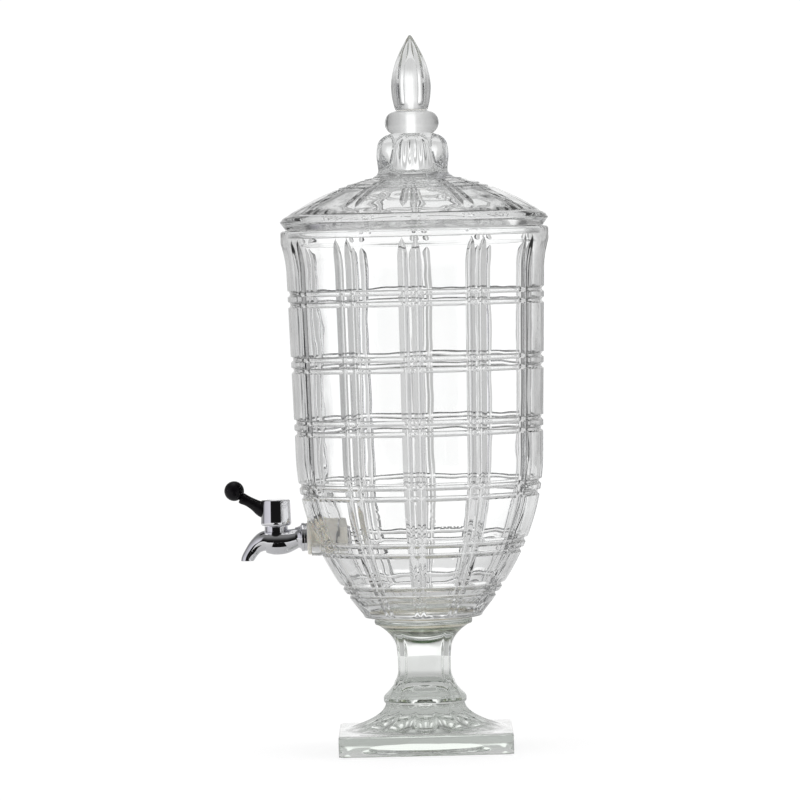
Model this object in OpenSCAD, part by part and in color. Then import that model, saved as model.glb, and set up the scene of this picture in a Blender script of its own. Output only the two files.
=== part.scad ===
// Pressed-glass beverage dispenser on a pedestal, with a lift-off lid and a quarter-turn lever tap.
// The tap faces -Y, +Z is up, and the origin is the middle of the plinth's underside.

/* [Bowl] */
// Radius of the lip round the mouth
lip_r = 105.2; // [103:0.1:108]
// Radius of the wall where it meets the flared lip
wall_top_r = 101; // [99:0.5:102.5]
// Radius of the wall at the shoulder, where the belly starts to draw in
shoulder_r = 97.3; // [94:0.1:98.5]
// Height of the shoulder above the table
shoulder_z = 240; // [232:1:245]
// Height of the bowl's underside above the table
bowl_base_z = 104; // [102:0.5:106]
// Height of the mouth above the table
mouth_z = 409; // [402:1:412]
// Thickness of the glass wall
wall_t = 4.2; // [4:0.1:5]
// Thickness of the glass floor
floor_t = 10; // [8:0.5:12]
// Share of the radius lost between the shoulder and the underside
belly_loss = 0.54; // [0.5:0.01:0.56]
// Exponent of the belly's curve
belly_power = 2.2; // [2:0.1:2.4]

/* [Cut pattern] */
// Heights of the six bands of paired grooves
band_z = [125.3, 159.6, 204.7, 254.7, 303.9, 355.2];
// Distance between the two grooves of a band
band_pitch = 9; // [8:0.5:10]
// Width of one groove at the surface
groove_w = 8; // [5:0.5:8.5]
// Depth of one groove
groove_d = 2.1; // [1.5:0.1:2.4]
// Number of upright groove pairs round the bowl
column_count = 12; // [6:1:16]
// Angle between the two grooves of an upright pair
column_pitch = 5.7; // [5:0.1:6.5]

/* [Pedestal] */
// Width of the square plinth
plinth_w = 136; // [130:1:140]
// Height of the plinth's upright sides
plinth_h = 16.3; // [14:0.1:18]
// Radius of the plinth's upright corners
plinth_corner_r = 7; // [5:0.5:9]
// Radius of the stem at its waist
waist_r = 20.8; // [19:0.1:23]
// Radius of the knop above the plinth
knop_r = 32.6; // [31:0.1:34]
// Radius of the collar under the bowl
collar_r = 38.4; // [37:0.1:40]

/* [Lid] */
// Radius of the lid's rim
lid_r = 105.2; // [103:0.1:106]
// Height that the lid's dome would reach at the axis
dome_z = 452.5; // [450:0.5:455]
// Drop of the dome from the axis to the rim
dome_drop = 35.4; // [33:0.1:37]
// Thickness of the lid's glass
lid_t = 5; // [4:0.5:6]
// Radius of the bulb under the finial
bulb_r = 21.2; // [19:0.1:23]
// Largest radius of the flame finial
flame_r = 15.6; // [14:0.1:17]
// Height of the finial's tip above the table
tip_z = 560; // [552:1:566]

/* [Tap] */
// Height of the tap's inlet above the table
tap_z = 168.7; // [167:0.1:170]
// Distance from the bowl's axis to the tap's upright axis
valve_x = 113.8; // [113:0.1:115]
// Radius of the flanges against the glass
flange_r = 11.3; // [10.5:0.1:12]
// Radius of the threaded shank
shank_r = 8; // [7.5:0.1:8.2]
// Radius of the tap's hub at its foot
hub_r = 12; // [11.5:0.1:12.5]
// Radius of the ball on the lever
ball_r = 7.8; // [7:0.1:8.5]

/* [Hidden] */
$fn = 96;
eps = 0.01;

// ---- Bowl ----
flare_z = 372;
lip_z = 399;
lip_round = 2.5;
floor_z = bowl_base_z + floor_t;
base_round = 2.5;
belly_steps = 24;
flare_steps = 6;

// Radius of a belly that starts at top_r and ends at the height foot_z
function belly_r(top_r, foot_z, z) =
    top_r * (1 - belly_loss * pow((shoulder_z - z) / (shoulder_z - foot_z), belly_power));

function wall_r(z) =
    z < shoulder_z ? belly_r(shoulder_r, bowl_base_z, z)
    : z < flare_z ? shoulder_r + (wall_top_r - shoulder_r) * (z - shoulder_z) / (flare_z - shoulder_z)
    : wall_top_r + (lip_r - wall_top_r) * pow(min(z, lip_z) - flare_z, 2) / pow(lip_z - flare_z, 2);

// Points on an arc round [x, y], from angle a0 to angle a1
function arc(x, y, r, a0, a1, n = 6) =
    [for (i = [0:n]) let (a = a0 + (a1 - a0) * i / n) [x + r * cos(a), y + r * sin(a)]];

function steps(z0, z1, n) = [for (i = [0:n]) z0 + (z1 - z0) * i / n];

outer_profile = concat(
    [[0, bowl_base_z]],
    arc(wall_r(bowl_base_z + base_round) - base_round, bowl_base_z + base_round, base_round, -90, 0, 4),
    [for (z = steps(bowl_base_z + 2 * base_round, shoulder_z, belly_steps)) [wall_r(z), z]],
    [for (z = steps(flare_z, lip_z, flare_steps)) [wall_r(z), z]],
    arc(lip_r - lip_round, mouth_z - lip_round, lip_round, 0, 90),
    [[0, mouth_z]]
);

// The cavity, drawn gap mm smaller than the hollow in the glass
function cavity_profile(gap) = concat(
    [[0, floor_z + gap]],
    [for (z = steps(floor_z + gap, shoulder_z, belly_steps))
        [belly_r(shoulder_r - wall_t, floor_z, z) - gap, z]],
    [for (z = steps(flare_z, lip_z, flare_steps)) [wall_r(z) - wall_t - gap, z]],
    [[lip_r - wall_t - gap, mouth_z + 1], [0, mouth_z + 1]]
);

boss_r = 15;
boss_x = 86.3;
tap_hole_r = 8.4;

// Places a shape drawn with its axis along +X at the tap's height and turns it to face -Y
module at_tap() {
    translate([0, 0, tap_z]) rotate([0, 0, -90]) children();
}

// A round bar along X from x0 to x1
module bar(x0, x1, r) {
    translate([x0, 0, 0]) rotate([0, 90, 0]) cylinder(r = r, h = x1 - x0);
}

// Ring groove of V section cut square to the wall at height z
module ring_groove(z) {
    slope = atan2(wall_r(z - 1) - wall_r(z + 1), 2);
    rotate_extrude()
        translate([wall_r(z), z]) rotate(slope)
            polygon([[-groove_d, 0], [groove_d, -groove_w], [groove_d, groove_w]]);
}

// Straight V-section cut whose bottom runs from radius r0 at z0 to radius r1 at z1
module upright_cut(r0, z0, r1, z1) {
    run = sqrt(pow(r1 - r0, 2) + pow(z1 - z0, 2));
    half_w = groove_w * (r0 + r1) / 2 / wall_top_r;
    translate([r0, 0, z0]) rotate([0, atan2(r1 - r0, z1 - z0), 0])
        linear_extrude(height = run)
            polygon([[0, 0], [2 * groove_d, -half_w], [2 * groove_d, half_w]]);
}

// One upright groove: up the wall from the shoulder, and out to a point under the lip
module upright_groove() {
    tip_start = 378;
    tip_end = 394;
    upright_cut(wall_r(shoulder_z) - groove_d, shoulder_z, wall_r(flare_z) - groove_d, tip_start);
    upright_cut(wall_r(flare_z) - groove_d, tip_start - 1, wall_r(tip_end) + eps, tip_end);
}

// The pattern is cut before the boss is added, so the grooves stop at the boss
module patterned_blank() {
    difference() {
        rotate_extrude() polygon(outer_profile);
        for (z = band_z, side = [-0.5, 0.5]) ring_groove(z + side * band_pitch);
        for (i = [0:column_count - 1], side = [-0.5, 0.5])
            rotate(i * 360 / column_count + side * column_pitch) upright_groove();
    }
}

module bowl() {
    color("lightcyan", 0.35) difference() {
        union() {
            patterned_blank();
            at_tap() bar(boss_x - 20, boss_x, boss_r);
        }
        rotate_extrude() polygon(cavity_profile(0));
        at_tap() bar(boss_x, boss_x + 20, boss_r);
        at_tap() bar(boss_x - 40, boss_x + 1, tap_hole_r);
    }
}

// ---- Pedestal ----
recess_r = 50;
recess_h = 7;
joint_r = 34;
joint_t = 1;
collar_top = bowl_base_z - joint_t;
collar_bottom = collar_top - 4.6;
collar_round = 1.5;
waist_low = 60.5;
waist_high = 70.6;
knop_top = 42.3;
knop_bottom = 37.2;
cove_r = 65;

// Stem radius: it swells from the waist to the knop below and to the collar above
function stem_r(z) =
    z < waist_low
        ? waist_r + (knop_r - waist_r) * pow((waist_low - z) / (waist_low - knop_top), 1.75)
    : z > waist_high
        ? waist_r + (collar_r - 2 - waist_r) * pow((z - waist_high) / (collar_bottom - waist_high), 3)
    : waist_r;

// Radius of the cove that spreads from under the knop to the plinth
function cove(z) = knop_r - 1 + (cove_r - knop_r + 1) * pow((knop_bottom - z) / (knop_bottom - plinth_h), 2.2);

stem_profile = concat(
    [[0, plinth_h - 1], [cove_r, plinth_h - 1]],
    [for (z = steps(plinth_h, knop_bottom, 8)) [cove(z), z]],
    [[knop_r, knop_bottom + 1]],
    [for (z = steps(knop_top, waist_low, 6)) [stem_r(z), z]],
    [for (z = steps(waist_high, collar_bottom, 10)) [stem_r(z), z]],
    arc(collar_r - collar_round, collar_bottom + collar_round, collar_round, -60, 0, 3),
    arc(collar_r - collar_round, collar_top - collar_round, collar_round, 0, 90, 4),
    [[0, collar_top]]
);

module round_cornered_square(w, r) {
    square([w, w - 2 * r], center = true);
    square([w - 2 * r, w], center = true);
    for (x = [-1, 1], y = [-1, 1]) translate([x, y] * (w / 2 - r)) circle(r = r);
}

module pedestal() {
    color("lightcyan", 0.35) difference() {
        union() {
            linear_extrude(height = plinth_h) round_cornered_square(plinth_w, plinth_corner_r);
            rotate_extrude() polygon(stem_profile);
        }
        translate([0, 0, -eps]) cylinder(r1 = recess_r, r2 = recess_r - 4, h = recess_h);
    }
}

// Clear adhesive between the pedestal's collar and the bowl
module bowl_adhesive() {
    color("ivory", 0.5) translate([0, 0, collar_top]) cylinder(r = joint_r, h = joint_t);
}

// ---- Lid ----
seat_gap = 0.3;
seat_z = mouth_z + seat_gap;
rim_z = 415.4;
rim_round = 1.2;
seat_r = 101.3;
locating_ring_r = 99.5;
locating_ring_t = 3.5;
locating_ring_z = 402.5;
neck_r = 22;
bulb_z = 491.5;
bulb_half_h = 9.6;
bell_top = 483;
bell_foot_r = 30;
bell_foot_z = 449.5;
petal_count = 4;
petal_x = 15.4;
petal_r = 12.8;
petal_low = 451;
petal_high = 482;
finial_joint_t = 0.4;
finial_joint_r = 12;
knob_top_z = 501;
finial_z = knob_top_z + finial_joint_t;

function dome(r) = dome_z - dome_drop * pow(r / lid_r, 2);
function bell_r(z) = neck_r + (bell_foot_r - neck_r) * pow((bell_top - z) / (bell_top - bell_foot_z), 3);

lid_outer = concat(
    [[0, seat_z], [seat_r, seat_z]],
    arc(lid_r - rim_round, rim_z, rim_round, -50, 60, 4),
    [for (r = steps(lid_r - 4, bell_foot_r, 12)) [r, dome(r)]],
    [for (z = steps(bell_foot_z + 1.5, bell_top - 3, 6)) [bell_r(z) - 2, z]],
    [for (a = [-55:10:55]) [bulb_r - 9.6 + 9.6 * cos(a), bulb_z + bulb_half_h * sin(a)]],
    [[finial_joint_r + 1.2, knob_top_z], [0, knob_top_z]]
);

lid_hollow = concat(
    [[0, seat_z - 1], [locating_ring_r - locating_ring_t, seat_z - 1]],
    [for (r = steps(locating_ring_r - locating_ring_t, 0, 12)) [r, dome(r) - lid_t - 1]]
);

// A round-topped petal that stands upright against the bell
module petal() {
    translate([petal_x, 0, petal_low]) cylinder(r = petal_r, h = petal_high - petal_r - petal_low);
    translate([petal_x, 0, petal_high - petal_r]) sphere(r = petal_r);
}

module lid() {
    color("lightcyan", 0.35) {
        difference() {
            union() {
                rotate_extrude() polygon(lid_outer);
                for (i = [0:petal_count - 1]) rotate(i * 360 / petal_count) petal();
            }
            rotate_extrude() polygon(lid_hollow);
        }
        rotate_extrude()
            translate([locating_ring_r - locating_ring_t, locating_ring_z])
                square([locating_ring_t, seat_z - locating_ring_z + 2]);
    }
}

// Clear adhesive that holds the finial on the bulb
module finial_adhesive() {
    color("khaki", 0.6) translate([0, 0, knob_top_z]) cylinder(r = finial_joint_r, h = finial_joint_t);
}

// Flame outline: widest low down, drawn in to a rounded tip
flame_foot_r = 12.7;
flame_wide_z = 520;
flame_tip_r = 1.2;

function flame(z) =
    z < flame_wide_z
        ? flame_r - (flame_r - flame_foot_r) * pow((flame_wide_z - z) / (flame_wide_z - finial_z), 2)
    : flame_tip_r + (flame_r - flame_tip_r) * (1 - pow((z - flame_wide_z) / (tip_z - 1 - flame_wide_z), 1.8));

module finial() {
    color("lightcyan", 0.35) rotate_extrude() polygon(concat(
        [[0, finial_z]],
        [for (z = steps(finial_z, tip_z - 1, 16)) [flame(z), z]],
        [[0, tip_z]]
    ));
}

// ---- Tap: drawn along +X from the bowl's axis, with z = 0 at the inlet ----
outer_washer_r = 14;
outer_washer_t = 3;
escutcheon_r = 11;
escutcheon_t = 2.4;
flange_t = 2.4;
washer_bore_r = 8.3;
inner_washer_r = 13.5;
nut_face_x = 66;
flat_washer_t = 1;
nut_t = 7;
nut_r = 13.5;
nut_flats = 6;
shank_end_x = 54;
escutcheon_x = boss_x + outer_washer_t;
flange_x = escutcheon_x + escutcheon_t;
body_x = flange_x + flange_t;
inlet_r = 3.9;
chamber_r = 6.05;
chamber_floor = -10.2;
neck_top = 5.5;
tap_neck_r = 9.15;
groove_in_r = 7;
groove_out_r = 8.2;
groove_floor = 3.9;
seat_play = 0.1;

// Stations of the tap's body: [distance out, height, radius], measured from the bowl's axis and the inlet
body_stations = [
    [body_x - 1, 0, 7], [body_x + 1.5, 0, 7.2], [102, -1.85, 8.7], [107.5, -3, 9.9],
    [113.8, -3.25, 10.25], [118.6, -3, 9.7], [124, -2.9, 8], [129.7, -6.3, 6.1], [133.6, -11, 5.3], [136.9, -18, 5.2], [138, -21, 5.2]
];
outlet_z = -17.7;
passage_r = 3.2;
bend_pocket_r = 3.5;
passage_points = [[valve_x + 2, 0], [122, 0], [133.2, -10.2], [137.6, -22]];
skin_sides = 32;

// Direction of the path through the stations at station i, in degrees above the horizontal
function heading(st, i) =
    let (a = st[max(i - 1, 0)], b = st[min(i + 1, len(st) - 1)]) atan2(b[1] - a[1], b[0] - a[0]);

// A skin of round sections that stand square to a path of [x, z, r] stations
module skin(st) {
    n = len(st);
    points = [
        for (i = [0:n - 1], k = [0:skin_sides - 1])
            let (h = heading(st, i), u = 360 * k / skin_sides)
                [st[i][0] - st[i][2] * cos(u) * sin(h), st[i][2] * sin(u), st[i][1] + st[i][2] * cos(u) * cos(h)]
    ];
    sides = [
        for (i = [0:n - 2], k = [0:skin_sides - 1])
            let (a = i * skin_sides + k, b = i * skin_sides + (k + 1) % skin_sides)
                each [[a, b, a + skin_sides], [b, b + skin_sides, a + skin_sides]]
    ];
    foot = [for (k = [skin_sides - 1:-1:0]) k];
    head = [for (k = [0:skin_sides - 1]) (n - 1) * skin_sides + k];
    polyhedron(points, concat(sides, [foot, head]), convexity = 6);
}

// Waterway from the valve to the outlet: three straight bores with a pocket at each bend
module passage() {
    for (i = [0:len(passage_points) - 2])
        let (a = passage_points[i], b = passage_points[i + 1])
            translate([a[0], 0, a[1]]) rotate([0, 90 - atan2(b[1] - a[1], b[0] - a[0]), 0])
                cylinder(r = passage_r, h = norm(b - a));
    for (i = [1:len(passage_points) - 2])
        translate([passage_points[i][0], 0, passage_points[i][1]]) sphere(r = bend_pocket_r);
}

module spigot_body() {
    color("silver") at_tap() difference() {
        union() {
            bar(shank_end_x, flange_x + eps, shank_r);
            bar(flange_x, body_x, flange_r);
            skin(body_stations);
            translate([valve_x, 0, -2]) cylinder(r = tap_neck_r, h = neck_top + 2);
        }
        bar(shank_end_x - 1, valve_x, inlet_r);
        passage();
        translate([valve_x, 0, chamber_floor]) cylinder(r = chamber_r, h = 30);
        translate([valve_x, 0, neck_top]) cylinder(r = tap_neck_r + seat_play, h = 10);
        translate([valve_x, 0, groove_floor]) difference() {
            cylinder(r = groove_out_r, h = 10);
            translate([0, 0, -1]) cylinder(r = groove_in_r, h = 12);
        }
        translate([120, -20, outlet_z - 20]) cube([30, 40, 20]);
    }
}

module ring(x, t, r, hole_r) {
    at_tap() difference() {
        bar(x, x + t, r);
        bar(x - 1, x + t + 1, hole_r);
    }
}

module escutcheon_ring() {
    color("silver") ring(escutcheon_x, escutcheon_t, escutcheon_r, washer_bore_r);
}

module outer_washer() {
    color("antiquewhite") ring(boss_x, outer_washer_t, outer_washer_r, washer_bore_r);
}

// Soft wedge-shaped washer that takes up the slope of the wall inside the bowl
module inner_washer() {
    color("antiquewhite") intersection() {
        ring(nut_face_x, 30, inner_washer_r, washer_bore_r);
        rotate_extrude() polygon(cavity_profile(0.15));
    }
}

module flat_washer() {
    color("lightgray") ring(nut_face_x - flat_washer_t, flat_washer_t, inner_washer_r - 0.5, washer_bore_r);
}

module retaining_nut() {
    color("whitesmoke") at_tap() difference() {
        translate([nut_face_x - flat_washer_t - nut_t, 0, 0]) rotate([0, 90, 0])
            cylinder(r = nut_r, h = nut_t, $fn = nut_flats);
        bar(shank_end_x - 1, nut_face_x, shank_r + 0.05);
    }
}

// ---- Valve ----
bonnet_top = 8.9;
bonnet_roof = 7.5;
spindle_r = 4;
spindle_hole_r = 4.05;
plug_r = 6;
plug_bottom = -9.9;
plug_top = 7.2;
port_r = 3.2;
stop_in_r = 5.5;
stop_out_r = 7.2;
stop_half_angle = 16;
stop_low = 5.7;
pocket_r = 7.4;
turn = 90;
stop_play = 1;
spindle_top = 24;
flat_depth = 1.2;
flat_from = 10;
screw_hole_r = 2;
screw_hole_depth = 10;
o_ring_section = 0.8;
o_ring_mid_r = 5.22;
o_ring_z = [4.45, -5.6];
o_groove_floor_r = 4.4;
o_groove_half_w = 0.85;

module at_valve() {
    at_tap() translate([valve_x, 0, 0]) children();
}

// A sector of a ring between two angles
module ring_sector(r0, r1, h, a0, a1) {
    rotate(a0) rotate_extrude(angle = a1 - a0) translate([r0, 0]) square([r1 - r0, h]);
}

// Threaded ring that holds the plug down; the pocket under its roof stops the plug's lug
module bonnet_ring() {
    skirt_gap = 0.05;
    color("silver") at_valve() difference() {
        union() {
            translate([0, 0, neck_top]) cylinder(r = tap_neck_r, h = bonnet_top - neck_top);
            translate([0, 0, groove_floor + skirt_gap])
                cylinder(r = groove_out_r - skirt_gap, h = neck_top - groove_floor);
        }
        translate([0, 0, groove_floor - 1]) cylinder(r = groove_in_r + skirt_gap, h = neck_top - groove_floor + 1);
        translate([0, 0, neck_top - 1]) cylinder(r = chamber_r, h = bonnet_roof - neck_top + 1);
        translate([0, 0, neck_top - eps])
            ring_sector(stop_in_r, pocket_r, bonnet_roof - neck_top,
                -stop_half_angle - stop_play, stop_half_angle + turn + stop_play);
        translate([0, 0, neck_top]) cylinder(r = spindle_hole_r, h = 10);
    }
}

module spindle_flat(gap) {
    translate([spindle_r - flat_depth + gap, -10, flat_from]) cube([10, 20, 20]);
}

// Quarter-turn plug: the port lies across the flow when the tap is shut
module valve_plug() {
    color("dimgray") at_valve() difference() {
        union() {
            translate([0, 0, plug_bottom]) cylinder(r = plug_r, h = plug_top - plug_bottom);
            translate([0, 0, plug_top - eps]) cylinder(r = spindle_r, h = spindle_top - plug_top);
            translate([0, 0, stop_low])
                ring_sector(stop_in_r, stop_out_r, plug_top - stop_low, -stop_half_angle, stop_half_angle);
        }
        rotate(turn) translate([-10, 0, 0]) bar(0, 20, port_r);
        for (z = o_ring_z) translate([0, 0, z - o_groove_half_w]) difference() {
            cylinder(r = plug_r + 1, h = 2 * o_groove_half_w);
            translate([0, 0, -1]) cylinder(r = o_groove_floor_r, h = 4);
        }
        spindle_flat(0);
        translate([0, 0, spindle_top - screw_hole_depth]) cylinder(r = screw_hole_r, h = 20);
    }
}

module o_ring(z) {
    color("black") at_valve() translate([0, 0, z]) rotate_extrude() translate([o_ring_mid_r, 0])
        circle(r = o_ring_section);
}

module upper_o_ring() {
    o_ring(o_ring_z[0]);
}

module lower_o_ring() {
    o_ring(o_ring_z[1]);
}

// ---- Hub and lever ----
hub_bottom = 9.2;
hub_top = 29.9;
hub_top_r = 11.35;
hub_foot_round = 1.6;
hub_edge_round = 0.8;
head_seat = 26;
head_r = 3.5;
head_h = 2.2;
cap_r = 7;
cap_t = 1.3;
cap_gap = 0.05;
stud_z = 21.5;
stud_r = 3;
stud_in_x = 6;
ball_x = 146.1;
ball_z = 37.2;
ball_stud_r = 2;
ball_stud_len = 5;

module hub() {
    color("silver") at_valve() difference() {
        rotate_extrude() polygon(concat(
            [[0, hub_bottom]],
            arc(hub_r - hub_foot_round, hub_bottom + hub_foot_round, hub_foot_round, -90, 0),
            arc(hub_top_r - hub_edge_round, hub_top - hub_edge_round, hub_edge_round, 0, 90, 4),
            [[0, hub_top]]
        ));
        difference() {
            translate([0, 0, hub_bottom - 1]) cylinder(r = spindle_hole_r, h = spindle_top - hub_bottom + 1.3);
            spindle_flat(cap_gap);
        }
        cylinder(r = screw_hole_r + 0.1, h = hub_top);
        translate([0, 0, head_seat]) cylinder(r = cap_r + cap_gap, h = 10);
        translate([0, 0, stud_z]) bar(stud_in_x, 20, stud_r + cap_gap);
    }
}

module hub_screw() {
    shank = 9;
    color("darkgray") at_valve() {
        translate([0, 0, head_seat]) difference() {
            cylinder(r = head_r, h = head_h);
            translate([-5, -0.4, head_h - 1]) cube([10, 0.8, 2]);
        }
        translate([0, 0, head_seat - shank]) cylinder(r = screw_hole_r - 0.05, h = shank + eps);
    }
}

module hub_cap() {
    color("silver") at_valve() translate([0, 0, hub_top - cap_t]) cylinder(r = cap_r, h = cap_t);
}

// Stations of the lever: [distance out, height, radius]
lever_stations = [
    [valve_x + 9, 21.5, 6.6], [125.6, 23.2, 6], [129.2, 25.3, 4.9], [132.6, 27.5, 4.2], [136.4, 29.6, 4.1],
    [140.5, 31.6, 4.6]
];
lever_end = [140.5, 31.6];

module lever() {
    slope = atan2(ball_z - lever_end[1], ball_x - lever_end[0]);
    color("black") at_tap() {
        difference() {
            skin(lever_stations);
            translate([valve_x, 0, 0]) cylinder(r1 = hub_r + 0.35, r2 = hub_top_r - 0.25, h = hub_top + 9);
            translate([lever_end[0], 0, lever_end[1]]) rotate([0, 90 - slope, 0])
                translate([-10, -10, 0]) cube(20);
        }
        translate([valve_x, 0, stud_z]) bar(stud_in_x + 0.3, 16, stud_r);
        translate([lever_end[0], 0, lever_end[1]]) rotate([0, 90 - slope, 0])
            translate([0, 0, -1]) cylinder(r = ball_stud_r - 0.05, h = ball_stud_len + 1);
    }
}

module lever_ball() {
    slope = atan2(ball_z - lever_end[1], ball_x - lever_end[0]);
    color("black") at_tap() difference() {
        translate([ball_x, 0, ball_z]) sphere(r = ball_r);
        translate([lever_end[0], 0, lever_end[1]]) rotate([0, 90 - slope, 0]) translate([-10, -10, -19.9]) cube(20);
        translate([lever_end[0], 0, lever_end[1]]) rotate([0, 90 - slope, 0])
            translate([0, 0, -1]) cylinder(r = ball_stud_r, h = ball_stud_len + 1.3);
    }
}

pedestal();
bowl_adhesive();
bowl();
lid();
finial_adhesive();
finial();
spigot_body();
escutcheon_ring();
outer_washer();
inner_washer();
flat_washer();
retaining_nut();
bonnet_ring();
valve_plug();
upper_o_ring();
lower_o_ring();
hub();
hub_screw();
hub_cap();
lever();
lever_ball();
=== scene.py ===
"""Pressed-glass beverage dispenser: the looks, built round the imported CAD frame.

Lengths inside the shape functions are in millimetres and become metres when a mesh is made.
The frame has +Z up, the tap towards -Y and its origin in the middle of the plinth's underside.
"""

import math

import bpy
import numpy as np
from mathutils import Matrix, Vector


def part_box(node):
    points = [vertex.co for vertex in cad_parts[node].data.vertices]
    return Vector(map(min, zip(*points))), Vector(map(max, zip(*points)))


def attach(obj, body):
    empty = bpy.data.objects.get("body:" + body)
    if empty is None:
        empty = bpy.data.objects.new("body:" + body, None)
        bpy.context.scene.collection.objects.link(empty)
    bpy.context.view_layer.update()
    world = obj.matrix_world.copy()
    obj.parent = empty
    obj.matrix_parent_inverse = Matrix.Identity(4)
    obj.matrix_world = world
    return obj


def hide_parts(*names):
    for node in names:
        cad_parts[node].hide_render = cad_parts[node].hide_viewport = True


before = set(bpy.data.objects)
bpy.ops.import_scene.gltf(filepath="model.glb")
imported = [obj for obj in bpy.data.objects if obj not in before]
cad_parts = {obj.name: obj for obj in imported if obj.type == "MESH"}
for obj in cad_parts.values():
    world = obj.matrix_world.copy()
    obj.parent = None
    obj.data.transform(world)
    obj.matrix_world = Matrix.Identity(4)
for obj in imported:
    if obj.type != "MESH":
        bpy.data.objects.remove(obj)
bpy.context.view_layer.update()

MM = 0.001


# ---------------------------------------------------------------- measures from the frame


def mm_box(node):
    """Lowest and highest corner of a CAD node in millimetres."""
    low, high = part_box(node)
    return np.array(low) / MM, np.array(high) / MM


bowl_low, bowl_high = mm_box("bowl")
lid_low, lid_high = mm_box("lid")
finial_low, finial_high = mm_box("finial")
_, pedestal_high = mm_box("pedestal")
hub_low, hub_high = mm_box("hub")
neck_low, neck_high = mm_box("bonnet_ring")
cap_low, cap_high = mm_box("hub_cap")
_, plug_high = mm_box("valve_plug")
washer_low, washer_high = mm_box("outer_washer")
escutcheon_low, escutcheon_high = mm_box("escutcheon_ring")
nut_low, nut_high = mm_box("retaining_nut")
_, spigot_high = mm_box("spigot_body")
ball_low, ball_high = mm_box("lever_ball")
_, glue_high = mm_box("bowl_adhesive")
_, seam_high = mm_box("finial_adhesive")

LIP_R = bowl_high[0]
BASE_Z = bowl_low[2]
MOUTH_Z = bowl_high[2]
RIM_R = lid_high[0]
KNOB_TOP = lid_high[2]
FINIAL_Z = finial_low[2]
TIP_Z = finial_high[2]
FLAME_R = finial_high[0]
PLINTH_HALF = pedestal_high[0]
COLLAR_TOP = pedestal_high[2]
TAP_Z = (washer_low[2] + washer_high[2]) / 2
BOSS_X = -washer_high[1]
VALVE_X = -(hub_low[1] + hub_high[1]) / 2
HUB_R = hub_high[0]
GLUE_R = glue_high[0]
SEAM_R = seam_high[0]


# ---------------------------------------------------------------- mesh helpers


def closed_mesh(name, grid):
    """Closed mesh from a (rows, columns, 3) grid: columns wrap round and a point closes each end."""
    rows, cols = grid.shape[:2]
    points = np.vstack([grid.reshape(-1, 3), grid[0].mean(0), grid[-1].mean(0)]) * MM
    row = np.arange(rows - 1)[:, None] * cols
    here = np.arange(cols)
    after = (here + 1) % cols
    quads = np.stack([row + here, row + after, row + cols + after, row + cols + here], -1)
    last = (rows - 1) * cols
    foot = np.stack([after, here, np.full(cols, rows * cols)], -1)
    head = np.stack([last + here, last + after, np.full(cols, rows * cols + 1)], -1)
    mesh = bpy.data.meshes.new(name)
    faces = quads.reshape(-1, 4).tolist() + foot.tolist() + head.tolist()
    mesh.from_pydata(points.tolist(), [], faces)
    mesh.shade_smooth()
    mesh.update()
    return mesh


def new_object(name, mesh):
    obj = bpy.data.objects.new(name, mesh)
    bpy.context.scene.collection.objects.link(obj)
    return obj


def closed_object(name, grid):
    return new_object(name, closed_mesh(name, grid))


def combined(name, base, others, operation):
    """The object that is left when a boolean of base and each of the others is done."""
    for other in others:
        modifier = base.modifiers.new(operation, "BOOLEAN")
        modifier.operation = operation
        modifier.solver = "MANIFOLD"
        modifier.object = other
    bpy.context.view_layer.update()
    solid = base.evaluated_get(bpy.context.evaluated_depsgraph_get())
    mesh = bpy.data.meshes.new_from_object(solid)
    mesh.name = name
    for old in [base, *others]:
        bpy.data.objects.remove(old)
    return new_object(name, mesh)


def sharpen(obj, degrees):
    """Edges that turn by more than this stay crisp; the rest shade smoothly."""
    obj.data.shade_smooth()
    obj.data.set_sharp_from_angle(angle=math.radians(degrees))


def polar(r, theta, z):
    """Points from radii, angles in degrees and heights, which broadcast together."""
    r, theta, z = np.broadcast_arrays(r, np.radians(theta), z)
    return np.stack([r * np.cos(theta), r * np.sin(theta), z], -1)


def tap_place(points):
    """Moves points drawn along +X at the inlet's height to where the tap is, facing -Y."""
    x, y, z = np.moveaxis(np.asarray(points, float), -1, 0)
    return np.stack([y, -x, z + TAP_Z], -1)


def valve_place(points):
    """The same, for points drawn round the valve's upright axis."""
    return tap_place(np.asarray(points, float) + [VALVE_X, 0, 0])


def arc(x, y, r, start, end, steps):
    """Points on an arc between two angles in degrees."""
    a = np.radians(np.linspace(start, end, steps + 1))
    return np.stack([x + r * np.cos(a), y + r * np.sin(a)], -1)


def smoothstep(t):
    t = np.clip(t, 0, 1)
    return t * t * (3 - 2 * t)


def lathe(profile, sides=96):
    """Grid of revolution round Z of an [r, z] outline."""
    profile = np.asarray(profile, float)
    theta = np.arange(sides) * 360 / sides
    return polar(profile[:, :1], theta[None, :], profile[:, 1:])


def ring_along_x(outline, sides=96):
    """Grid of revolution round the X axis from an [x, r] outline."""
    outline = np.asarray(outline, float)
    a = np.radians(np.arange(sides) * 360 / sides)
    x = np.repeat(outline[:, :1], sides, 1)
    return np.stack([x, outline[:, 1:] * np.cos(a), outline[:, 1:] * np.sin(a)], -1)


def loop_mesh(name, grid):
    """Closed mesh from a grid whose rows and columns both wrap round."""
    rows, cols = grid.shape[:2]
    i = np.arange(rows)[:, None] * cols
    i1 = (np.arange(rows)[:, None] + 1) % rows * cols
    k = np.arange(cols)
    k1 = (k + 1) % cols
    quads = np.stack([i + k, i + k1, i1 + k1, i1 + k], -1).reshape(-1, 4)
    mesh = bpy.data.meshes.new(name)
    mesh.from_pydata((grid.reshape(-1, 3) * MM).tolist(), [], quads.tolist())
    mesh.shade_smooth()
    mesh.update()
    return mesh


# ---------------------------------------------------------------- bowl

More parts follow.
